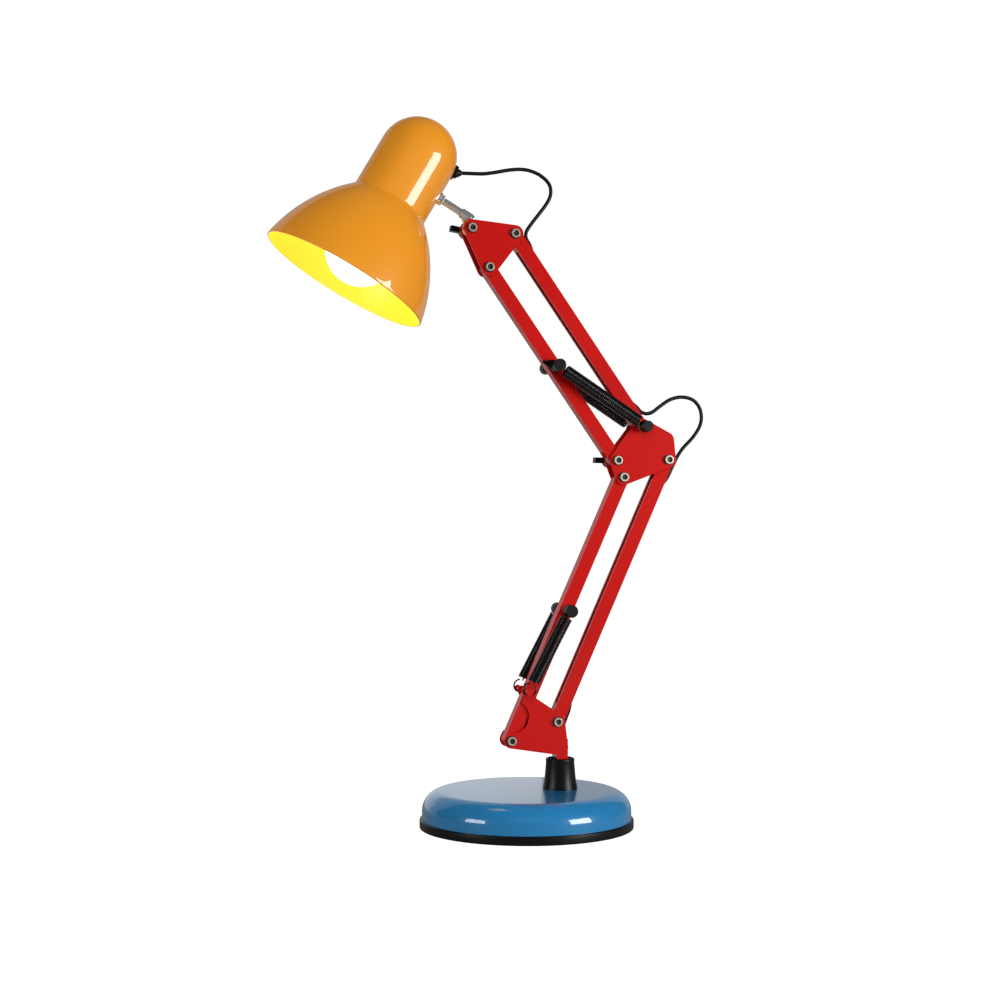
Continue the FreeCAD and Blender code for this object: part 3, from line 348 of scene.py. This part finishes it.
def glowing(name, base, near_colour, far_colour, near, far, strength, roughness):
    """Emission that fades from near_colour to far_colour with the distance from the globe."""
    made = finish(name, base, roughness, drift=0.04, grain=260.0, depth=0.03)
    nodes, links = made.node_tree.nodes, made.node_tree.links
    shader = nodes["Principled BSDF"]
    place = nodes.new("ShaderNodeTexCoord")
    reach = nodes.new("ShaderNodeVectorMath")
    reach.operation = "DISTANCE"
    reach.inputs[1].default_value = GLOBE
    links.new(place.outputs["Object"], reach.inputs[0])
    span = nodes.new("ShaderNodeMapRange")
    span.inputs["From Min"].default_value = near
    span.inputs["From Max"].default_value = far
    links.new(reach.outputs["Value"], span.inputs["Value"])
    ramp = nodes.new("ShaderNodeValToRGB")
    ramp.color_ramp.elements[0].color = (*near_colour, 1.0)
    ramp.color_ramp.elements[1].color = (*far_colour, 1.0)
    links.new(span.outputs["Result"], ramp.inputs["Fac"])
    links.new(ramp.outputs["Color"], shader.inputs["Emission Color"])
    shader.inputs["Emission Strength"].default_value = strength
    return made


# Painted light: this enamel glows, and its glow stands in for the globe's light falling inside the
# shade.
FINISH["painted_light_enamel"] = glowing("painted_light_enamel", (0.8, 0.42, 0.02), (1.0, 0.80, 0.06), (0.98, 0.66, 0.03),
                               0.028, 0.085, 0.72, 0.35)
FINISH["opal_glass"] = glowing("opal_glass", (0.9, 0.9, 0.88), (1.0, 1.0, 0.96), (1.0, 0.97, 0.85),
                               0.03, 0.07, 2.2, 0.2)

# %% [markdown]
# ## Rounded edges
# Sheet metal, tube and mouldings never have knife edges, and it is the round edge that catches a thin
# line of light. A copy of each solid has its loose triangles joined and its flat faces made whole, and
# then a Bevel modifier rounds every corner that is sharper than a given angle.

# %% Softening a solid
def soft_copy(node, finish_name, width, angle=35.0, segments=2):
    """A copy of a solid with rounded corners, which stands for it."""
    source = NODES[node]
    shape = bmesh.new()
    shape.from_mesh(source.data)
    bmesh.ops.remove_doubles(shape, verts=shape.verts, dist=0.004 * MM)
    bmesh.ops.dissolve_limit(shape, angle_limit=math.radians(0.5), verts=shape.verts,
                             edges=shape.edges)
    for face in shape.faces:
        face.smooth = True
    mesh = bpy.data.meshes.new(node + "_soft")
    shape.to_mesh(mesh)
    shape.free()
    mesh.set_sharp_from_angle(angle=math.radians(angle))
    piece = new_object(node + "_soft", mesh)
    bevel = piece.modifiers.new("round", "BEVEL")
    bevel.width = width
    bevel.segments = segments
    bevel.limit_method = "ANGLE"
    bevel.angle_limit = math.radians(angle)
    bevel.harden_normals = True
    return dress(piece, finish_name, BODY_OF[node], node)


def dress(piece, finish_name, body, *nodes):
    """Give a piece its finish, its body, and the solids that it stands for."""
    piece.data.materials.clear()
    piece.data.materials.append(FINISH[finish_name])
    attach(piece, body)
    if nodes:
        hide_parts(*nodes)
    return piece


# %% [markdown]
# ## Turned pieces
# The shade, the foot's cover and the mouldings are all round. Each is drawn as half an outline in
# the XZ plane, with straight runs and arcs, and the outline is then spun once round the Z axis.

# %% A pen for outlines
class Outline:
    """Half an outline, drawn with operators from one starting point; sizes are in mm."""

    def __init__(self, x, z):
        self.shape = bmesh.new()
        self.tip = self.shape.verts.new((x * MM, 0.0, z * MM))

    def line(self, x, z):
        made = bmesh.ops.extrude_vert_indiv(self.shape, verts=[self.tip])
        self.tip = made["verts"][0]
        self.tip.co = (x * MM, 0.0, z * MM)
        return self

    def arc(self, x, z, degrees, steps=8):
        """Turn about (x, z); positive is anticlockwise with X right and Z up."""
        made = bmesh.ops.spin(self.shape, geom=[self.tip], cent=(x * MM, 0, z * MM), axis=(0, 1, 0),
                              angle=math.radians(-degrees), steps=steps)
        self.tip = made["geom_last"][0]
        return self


def turned(name, outline, place=Matrix.Identity(4), steps=96, sharp=40.0):
    """Spin an outline once round Z, join its seam and move it to its place."""
    shape = outline.shape
    bmesh.ops.remove_doubles(shape, verts=shape.verts, dist=0.001 * MM)
    bmesh.ops.spin(shape, geom=shape.verts[:] + shape.edges[:], cent=(0, 0, 0), axis=(0, 0, 1),
                   angle=2 * math.pi, steps=steps, use_merge=True)
    bmesh.ops.remove_doubles(shape, verts=shape.verts, dist=0.001 * MM)
    bmesh.ops.dissolve_degenerate(shape, dist=0.0005 * MM, edges=shape.edges)
    bmesh.ops.recalc_face_normals(shape, faces=shape.faces)
    bmesh.ops.transform(shape, matrix=place, verts=shape.verts)
    for face in shape.faces:
        face.smooth = True
    mesh = bpy.data.meshes.new(name)
    shape.to_mesh(mesh)
    shape.free()
    mesh.set_sharp_from_angle(angle=math.radians(sharp))
    return new_object(name, mesh)


# %% [markdown]
# ## The foot
# A pressed steel cover with one big round shoulder sits in a black plastic ring. The socket that
# takes the arm's pin stands on top, off centre, towards the back.

# %% Foot
def foot_cover():
    out, wall, shoulder, top, low = 88.0, 1.2, 17.0, 31.0, 3.0
    ring = Outline(0, top).line(out - shoulder, top)
    ring.arc(out - shoulder, top - shoulder, -90, 20).line(out, low).line(out - wall, low)
    ring.line(out - wall, top - shoulder).arc(out - shoulder, top - shoulder, 90, 20)
    ring.line(0, top - wall)
    dress(turned("foot_cover", ring), "blue_enamel", "base", "base_cover")


def foot_rim():
    ring = Outline(84, 0.2).line(89.2, 0.0).arc(89.2, 0.8, 90, 4).line(90.0, 6.4)
    ring.arc(88.9, 6.4, 90, 5).line(88.0, 7.5).line(88.0, 1.5).line(84, 1.5).line(84, 0.2)
    dress(turned("foot_rim", ring, steps=128), "rim_moulding", "base", "base_rim")


foot_cover()
foot_rim()


# %% Socket
def socket():
    base = 31.0
    ring = Outline(4.8, base - 7).line(8.0, base - 7).line(8.0, base).line(14.5, base)
    ring.line(14.5, base + 2.0).line(13.7, base + 5.0).line(13.3, base + 8.0)
    ring.line(12.0, base + 22.4).line(12.1, base + 22.9).line(12.2, base + 24.6)
    ring.arc(10.8, base + 24.6, 90, 5).line(10.3, base + 26).line(9.9, base + 25.4)
    ring.line(9.9, base + 17).line(4.8, base + 17).line(4.8, base - 7)
    place = Matrix.Translation((PIVOT["base_swivel"].x, 0, 0))
    dress(turned("socket", ring, place, 64), "black_moulding", "base", "swivel_socket")


socket()

# %% [markdown]
# ## Brackets and bars
# The brackets are pairs of pressed plates, and the bars are square tube with the ends rounded off.
# Their solids are right, so they only need their corners eased.

# %% [markdown]
# ### Hexagon sockets
# The bright screws have a hexagon sunk in the head, and its inside is painted darker: painted shade,
# the shade that falls into the recess. One node holds several screws, so each one is found as an
# island of joined vertices, and the faces that lie inside its hexagon get a second, darker finish of
# painted shade.

# %% Painting shade into the sockets
KEY_RADIUS = 2.5 * MM
KEY_REACH = 2.0 * MM
HEADS_BEFORE = -9.0 * MM


def paint_socket_shade(piece):
    """Paint shade into the socket in the head of each screw with a darker finish."""
    shape = bmesh.new()
    shape.from_mesh(piece.data)
    waiting = set(shape.verts)
    found = 0
    while waiting:
        island, edge_of_island = set(), {waiting.pop()}
        while edge_of_island:
            vert = edge_of_island.pop()
            island.add(vert)
            edge_of_island |= {e.other_vert(vert) for e in vert.link_edges} - island
        waiting -= island
        head = min(vert.co.y for vert in island)
        rim = [vert.co for vert in island if vert.co.y < head + KEY_REACH]
        axis_x = (min(co.x for co in rim) + max(co.x for co in rim)) / 2
        axis_z = (min(co.z for co in rim) + max(co.z for co in rim)) / 2
        for face in {face for vert in island for face in vert.link_faces}:
            middle = face.calc_center_median()
            inside = math.hypot(middle.x - axis_x, middle.z - axis_z) < 0.95 * KEY_RADIUS
            sunk = head + 0.1 * MM < middle.y < head + KEY_REACH
            # Faces sunk inside the hexagon take the darker finish, painted shade in the socket.
            if inside and sunk and head < HEADS_BEFORE:
                face.material_index = 1
                found += 1
    shape.to_mesh(piece.data)
    shape.free()
    piece.data.materials.append(FINISH["painted_socket_shade"])
    print(piece.name, found, "recess faces")


# %% Brackets, bars and fasteners
EASED = {
    "red_enamel": (["base_bracket_plates", "elbow_plates", "head_plates"], 0.3),
    "screw_nickel": (["base_bolts", "elbow_bolts", "head_bolts", "elbow_spring_stud",
                      "lower_spring_stud", "upper_spring_stud"], 0.25),
    "link_chrome": (["link_rod", "rod_nuts", "link_ferrule"], 0.25),
    "dark_washer": (["base_washers", "elbow_washers", "head_washers"], 0.12),
    "yellow_zinc": (["link_eye"], 0.35),
    "black_moulding": (["lower_stud_caps", "upper_stud_caps", "elbow_stud_caps", "cord_gland",
                        "elbow_knob", "head_knob", "strain_relief"], 0.4),
    "holder_moulding": (["lamp_holder"], 0.5),
    "bright_zinc": (["holder_strap", "holder_nipple", "swivel_pin"], 0.2),
}
for finish_name, (members, ease) in EASED.items():
    for member in members:
        piece = soft_copy(member, finish_name, ease * MM)
        if member.endswith("_bolts"):
            paint_socket_shade(piece)
for member in ("lower_front_bar", "lower_rear_bar", "upper_front_bar", "upper_rear_bar"):
    soft_copy(member, "red_enamel", 0.45 * MM, angle=50.0, segments=3)

# %% Solids that keep their own shape
KEPT = {
    "grip_rubber": ["base_pad"],
    "bright_zinc": ["base_tray", "socket_nut", "pin_nut"],
    "cast_iron": ["base_weight"],
    "white_nylon": ["swivel_bush", "base_nylon_washers", "elbow_nylon_washers",
                    "head_nylon_washers", "link_spacers"],
    "cap_aluminium": ["bulb_cap"],
    "lead_sheath": ["lead_in_base", "lead_in_pin", "lead_in_lower_bar", "lead_in_upper_bar",
                    "lead_in_shade"],
}
for finish_name, members in KEPT.items():
    for member in members:
        NODES[member].data.materials.clear()
        NODES[member].data.materials.append(FINISH[finish_name])


# %% [markdown]
# ## The shade
# The shade is spun from sheet: a dome, a straight neck, a small hollow where the neck turns outwards,
# a bell on one long arc, and a rolled edge. The inside is the same outline one wall inwards. The
# outside and the inside are enamelled alike, but only the inside takes the globe's light, and that
# light is painted into its enamel as a glow.

# %% Shade
NECK, MOUTH_EDGE, WALL = 32.8, 72.6, 0.9
BELL_X, BELL_Z, BELL = -58.8, -23.2, 133.6
HOLLOW, DOME = 6.0, 120.9


def shade():
    hollow_x = NECK + HOLLOW
    hollow_z = BELL_Z + math.sqrt((BELL + HOLLOW) ** 2 - (hollow_x - BELL_X) ** 2)
    turn = math.degrees(math.atan2(hollow_z - BELL_Z, hollow_x - BELL_X))
    edge = math.degrees(math.atan2(0.8 - BELL_Z, MOUTH_EDGE - BELL_X))
    outside = Outline(0, DOME + NECK).arc(0, DOME, -90, 24).line(NECK, hollow_z)
    outside.arc(hollow_x, hollow_z, turn, 8).arc(BELL_X, BELL_Z, edge - turn, 40)
    tip = outside.tip.co
    roll_x = tip.x / MM - WALL
    outside.arc(roll_x, tip.z / MM, -190, 10)
    inside = outside.arc(BELL_X, BELL_Z, turn - edge, 40)
    inside.arc(hollow_x, hollow_z, -turn, 8).line(NECK - WALL, DOME).arc(0, DOME, 90, 24)
    shell = turned("shade_shell_spun", outside, SHADE_PLACE, 128, sharp=60.0)
    dress(shell, "amber_enamel", "shade", "shade_shell")
    # The second finish is the enamel with the globe's light painted in; it goes on the faces that look
    # inwards.
    shell.data.materials.append(FINISH["painted_light_enamel"])
    back = SHADE_PLACE.inverted()
    for face in shell.data.polygons:
        spot = back @ face.center
        from_axis = Vector((spot.x, spot.y, max(spot.z - DOME * MM, 0)))
        outwards = (back.to_3x3() @ face.normal).dot(from_axis)
        if outwards < 0:
            face.material_index = 1
    return shell


shell = shade()
print("shade faces", len(shell.data.polygons))


# %% Globe
def globe():
    glass = Outline(0, -1.0).arc(0, 29.0, 64, 20).line(26.2, 43.5).line(22.0, 52.5)
    glass.line(16.5, 64.0).line(13.6, 72.0).line(12.8, 79.0).line(0, 79.0)
    dress(turned("globe", glass, SHADE_PLACE, 64, sharp=50.0), "opal_glass", "shade", "bulb_glass")


globe()

# %% [markdown]
# ## Springs
# Two pairs of closed-coil springs carry the weight of the arms. A helix is a circle of wire that is
# spun round the spring's axis many times while each step also moves it along. A ring of wire at each
# end hooks over its post. On the lamp, one end of a spring stays and the other follows when the arm
# tilts; here each spring is wound once, between its ends as they stand at rest.

# %% Winding a spring
WIRE = 0.7 * MM
COIL = 4.7 * MM
TURN_STEPS = 18
POST_LOOP, PEG_LOOP = 4.1 * MM, 5.3 * MM
SIDE_SHIFT = 16.5 * MM


def wire_loop(shape, radius, degrees, start_turn):
    """Part of a ring of wire in the XZ plane."""
    made = bmesh.ops.create_circle(shape, segments=8, radius=WIRE)
    place = Matrix.Rotation(start_turn, 4, "Y") @ Matrix.Translation((radius, 0, 0))
    bmesh.ops.transform(shape, matrix=place, verts=made["verts"])
    edges = list({edge for vert in made["verts"] for edge in vert.link_edges})
    bmesh.ops.spin(shape, geom=made["verts"] + edges, cent=(0, 0, 0), axis=(0, 1, 0),
                   angle=math.radians(degrees), steps=24)


def spring(name, post, post_gap, hook, hook_radius, hook_gap, side, node):
    """A coil between two points, with a loop round each of them."""
    run = hook - post
    shift = Vector((0, side * SIDE_SHIFT, 0))
    length = run.length - post_gap - hook_gap
    turns = round(length / (2.06 * WIRE))
    shape = bmesh.new()
    made = bmesh.ops.create_circle(shape, segments=7, radius=WIRE)
    stand = Matrix.Translation((COIL, 0, post_gap)) @ Matrix.Rotation(math.radians(90), 4, "X")
    bmesh.ops.transform(shape, matrix=stand, verts=made["verts"])
    edges = list({edge for vert in made["verts"] for edge in vert.link_edges})
    steps = turns * TURN_STEPS
    bmesh.ops.spin(shape, geom=made["verts"] + edges, cent=(0, 0, 0), axis=(0, 0, 1),
                   dvec=(0, 0, length / steps), angle=2 * math.pi * turns, steps=steps)
    ends = ((0.0, POST_LOOP, post_gap, 1), (run.length, hook_radius, hook_gap, -1))
    for centre, radius, gap, way in ends:
        before = set(shape.verts)
        wire_loop(shape, radius, 300.0, math.radians(-60.0))
        ring = [vert for vert in shape.verts if vert not in before]
        turn = Matrix.Rotation(math.radians(0.0 if way > 0 else 180.0), 4, "Y")
        bmesh.ops.transform(shape, matrix=Matrix.Translation((0, 0, centre)) @ turn, verts=ring)
        neck = bmesh.ops.create_cone(shape, cap_ends=True, segments=8, radius1=WIRE, radius2=WIRE,
                                     depth=gap - radius + 1.4 * MM)
        middle = centre + way * (radius + (gap - radius) / 2)
        bmesh.ops.translate(shape, verts=neck["verts"], vec=(0, 0, middle))
    bmesh.ops.holes_fill(shape, edges=[edge for edge in shape.edges if edge.is_boundary])
    bmesh.ops.recalc_face_normals(shape, faces=shape.faces)
    turn = Matrix.Rotation(math.atan2(run.x, run.z), 4, "Y")
    place = Matrix.Translation(post + shift) @ turn
    bmesh.ops.transform(shape, matrix=place, verts=shape.verts)
    for face in shape.faces:
        face.smooth = True
    mesh = bpy.data.meshes.new(name)
    shape.to_mesh(mesh)
    shape.free()
    piece = new_object(name, mesh)
    piece.data.materials.append(FINISH["spring_steel"])
    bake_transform(piece)
    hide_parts(node)
    print(name, turns, "turns")


LOWER_RUN = PIVOT["elbow_level"] - PIVOT["lower_arm_tilt"]
UPPER_RUN = PIVOT["head_level"] - PIVOT["upper_arm_tilt"]
LOWER_POST = PIVOT["lower_front_tilt"] + LOWER_RUN.normalized() * 118.5 * MM
UPPER_POST = PIVOT["upper_front_tilt"] + UPPER_RUN.normalized() * 96.0 * MM
HOOK = PIVOT["lower_front_tilt"] + Vector((13.7, 0, 43.6)) * MM

for side, word in ((-1, "near"), (1, "far")):
    spring("lower_coil_" + word, LOWER_POST, 6.0 * MM, HOOK, PEG_LOOP, 7.2 * MM, side,
           "lower_springs")
    spring("upper_coil_" + word, UPPER_POST, 8.0 * MM, PIVOT["upper_arm_tilt"], POST_LOOP, 8.0 * MM,
           side, "upper_springs")


# %% [markdown]
# ### The tab under the upper spring's cap
# A small drop-shaped tab keeps the near spring's loop on its post. A ring of points and one point for
# the tail have a convex hull put round them, and the flat drop then gets its thickness.

# %% Spring tab
def spring_tab(post, way, tail, radius, low, thickness):
    shape = bmesh.new()
    bmesh.ops.create_circle(shape, segments=40, radius=radius)
    tip = bmesh.ops.create_circle(shape, segments=12, radius=1.2 * MM)
    bmesh.ops.translate(shape, verts=tip["verts"], vec=(tail, 0, 0))
    bmesh.ops.translate(shape, verts=shape.verts, vec=(0, 0, -thickness / 2))
    copy = bmesh.ops.duplicate(shape, geom=shape.verts[:])
    copied = [item for item in copy["geom"] if isinstance(item, bmesh.types.BMVert)]
    bmesh.ops.translate(shape, verts=copied, vec=(0, 0, thickness))
    made = bmesh.ops.convex_hull(shape, input=shape.verts[:])
    loose = [item for item in made["geom_interior"] if isinstance(item, bmesh.types.BMVert)]
    bmesh.ops.delete(shape, geom=loose, context="VERTS")
    bmesh.ops.dissolve_limit(shape, angle_limit=math.radians(1.0), verts=shape.verts,
                             edges=shape.edges)
    turn = Matrix.Rotation(-way, 4, "Y") @ Matrix.Rotation(math.radians(90), 4, "X")
    place = Matrix.Translation(post + Vector((0, low, 0))) @ turn
    bmesh.ops.transform(shape, matrix=place, verts=shape.verts)
    bmesh.ops.recalc_face_normals(shape, faces=shape.faces)
    mesh = bpy.data.meshes.new("spring_tab")
    shape.to_mesh(mesh)
    shape.free()
    piece = dress(new_object("spring_tab", mesh), "black_moulding", "upper_front_bar")
    ease = piece.modifiers.new("round", "BEVEL")
    ease.width = 0.3 * MM
    ease.segments = 2
    ease.limit_method = "ANGLE"


spring_tab(UPPER_POST, math.radians(164.0), 11.5 * MM, 5.2 * MM, -11.6 * MM, 1.6 * MM)


# %% [markdown]
# ## The lead
# A round black lead leaves the shade through its strain relief, loops over the head bracket into the
# upper rear bar, comes out above the elbow, loops behind it into the lower rear bar, and comes out
# once more above the foot to go down the hollow pin. Each loop is springy, so it bows out. It is cut
# where it passes from one moving body's reach to the next, on a straight stretch, so that the two
# sides still meet end to end.

# %% Lead
LEAD_RADIUS = 1.6 * MM


def lead(name, points, node):
    """A smooth cord whose control points are given in metres."""
    data = bpy.data.curves.new(name + "_line", "CURVE")
    data.dimensions = "3D"
    spline = data.splines.new("NURBS")
    spline.points.add(len(points) - 1)
    for point, spot in zip(spline.points, points):
        point.co = (*spot, 1.0)
    spline.order_u = 3
    spline.use_endpoint_u = True
    data.resolution_u = 12
    line = new_object(name + "_line", data)
    bpy.context.view_layer.update()
    bare = bpy.data.meshes.new_from_object(line)
    data.bevel_depth = LEAD_RADIUS
    data.bevel_resolution = 4
    data.use_fill_caps = True
    bpy.context.view_layer.update()
    tube = bpy.data.meshes.new_from_object(line.evaluated_get(bpy.context.evaluated_depsgraph_get()))
    bpy.data.objects.remove(line)
    for face in tube.polygons:
        face.use_smooth = True
    piece = new_object(name, tube)
    piece.data.materials.clear()
    piece.data.materials.append(FINISH["lead_sheath"])
    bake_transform(piece)
    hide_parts(node)


RELIEF_NOSE = (-0.05636, 0, 0.54693)
SHADE_CUT = (-0.0220, 0, 0.5499)
HEAD_CUT = (0.0110, 0, 0.5484)
UPPER_HOLE = (0.00471, 0, 0.4818)
lead("lead_over_link", [RELIEF_NOSE, (-0.0455, 0, 0.54693), (-0.0340, 0, 0.5472), SHADE_CUT],
     "cord_shade_loop_1")
lead("lead_over_head", [SHADE_CUT, (-0.0095, 0, 0.5527), (0.0045, 0, 0.5517), HEAD_CUT],
     "cord_shade_loop_2")
lead("lead_to_upper_bar",
     [HEAD_CUT, (0.0194, 0, 0.5434), (0.0219, 0, 0.5331), (0.0178, 0, 0.5240), (0.0060, 0, 0.5094),
      (-0.00266, 0, 0.49726), (0.00415, 0, 0.4875), UPPER_HOLE],
     "cord_shade_loop_3")

ELBOW_HOLE = (0.09128, 0, 0.35771)
ELBOW_CUT = (0.1365, 0, 0.36283)
LOWER_HOLE = (0.11907, 0, 0.28778)
lead("lead_from_upper_bar",
     [ELBOW_HOLE, (0.09643, 0, 0.35521), (0.1013, 0, 0.3486), (0.1096, 0, 0.3480),
      (0.1182, 0, 0.3549), (0.1290, 0, 0.3621), ELBOW_CUT],
     "cord_elbow_loop_1")
lead("lead_round_elbow",
     [ELBOW_CUT, (0.1460, 0, 0.3630), (0.1551, 0, 0.3540), (0.1562, 0, 0.3405), (0.1482, 0, 0.3280),
      (0.1366, 0, 0.3173), (0.12791, 0, 0.30027), (0.12366, 0, 0.29121), LOWER_HOLE],
     "cord_elbow_loop_2")

FOOT_HOLE = (0.03793, 0, 0.10553)
PIN_MOUTH = (0.0293, 0, 0.0620)
lead("lead_into_foot",
     [FOOT_HOLE, (0.03845, 0, 0.09983), (0.03375, 0, 0.08878), (0.0293, 0, 0.0750), PIN_MOUTH],
     "cord_foot_loop")
